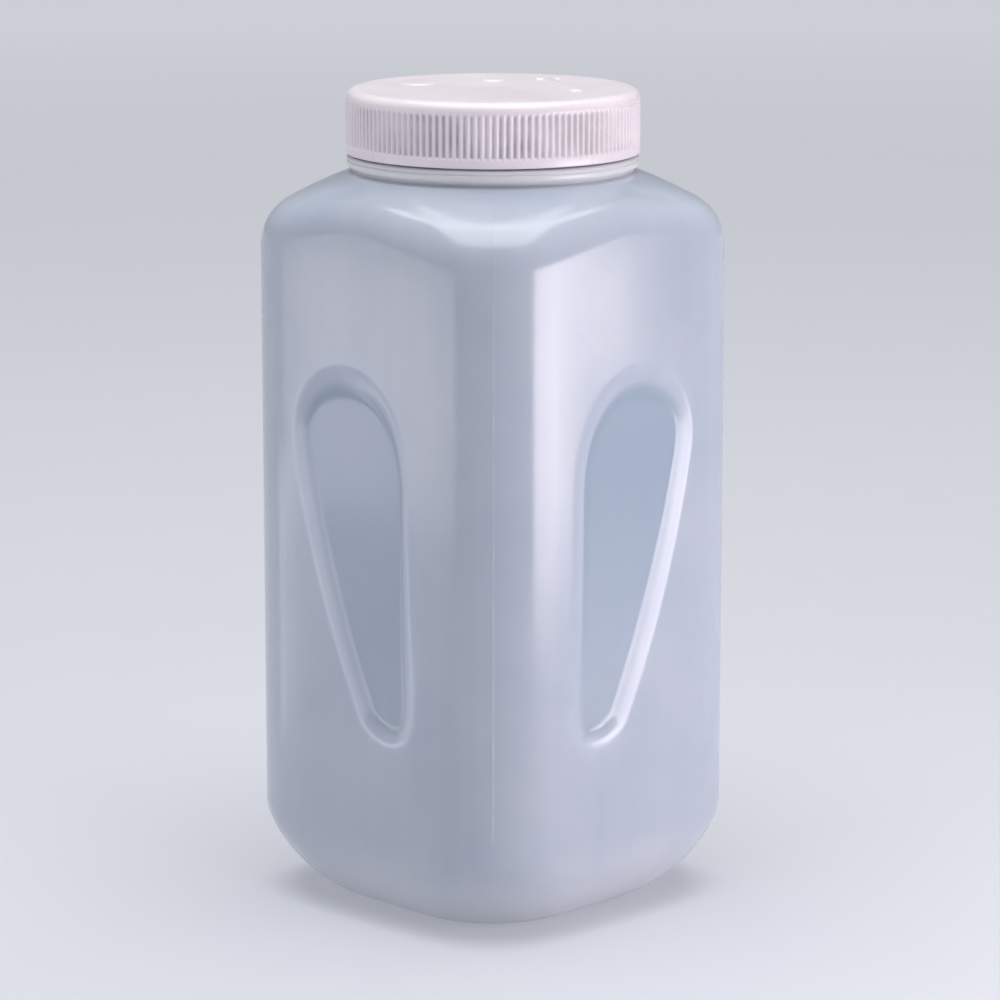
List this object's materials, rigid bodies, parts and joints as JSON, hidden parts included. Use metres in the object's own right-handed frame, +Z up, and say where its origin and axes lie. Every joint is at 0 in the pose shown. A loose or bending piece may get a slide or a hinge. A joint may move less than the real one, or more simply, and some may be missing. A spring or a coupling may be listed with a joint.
{
  "type": "wide-mouth reagent bottle",
  "caption": "Square translucent plastic reagent bottle with rounded corners, hand-grip recesses beside opposite corners, and a ribbed screw cap with a sealing liner.",
  "frame": {"origin": "centre of the base, on the surface the bottle stands on", "axes": "+Z up along the neck's axis; +X and +Y square to two faces; the gripped corners lie at +X -Y and -X +Y"},
  "size_m": [0.1408, 0.1408, 0.2974],
  "materials": {
    "translucent_plastic": "milky translucent, semi-gloss",
    "white_plastic": "opaque white, semi-gloss",
    "liner_foam": "matt, closed-cell foam"
  },
  "bodies": {
    "bottle": {"bottle": "translucent_plastic"},
    "liner": {"cap_liner": "liner_foam"},
    "cap": {"screw_cap": "white_plastic"}
  },
  "joints": [
    {"name": "liner_lift", "type": "slide", "parent": "bottle", "child": "liner", "axis": [0, 0, 1], "range_m": [0, 0.0229]},
    {"name": "cap_turn", "type": "hinge", "parent": "liner", "child": "cap", "pos_m": [0, 0, 0.274], "axis": [0, 0, 1], "range_deg": [0, 1620]}
  ],
  "couplings": [
    {"joint": "liner_lift", "follows": "cap_turn", "m_per_rad": 0.00080851}
  ]
}
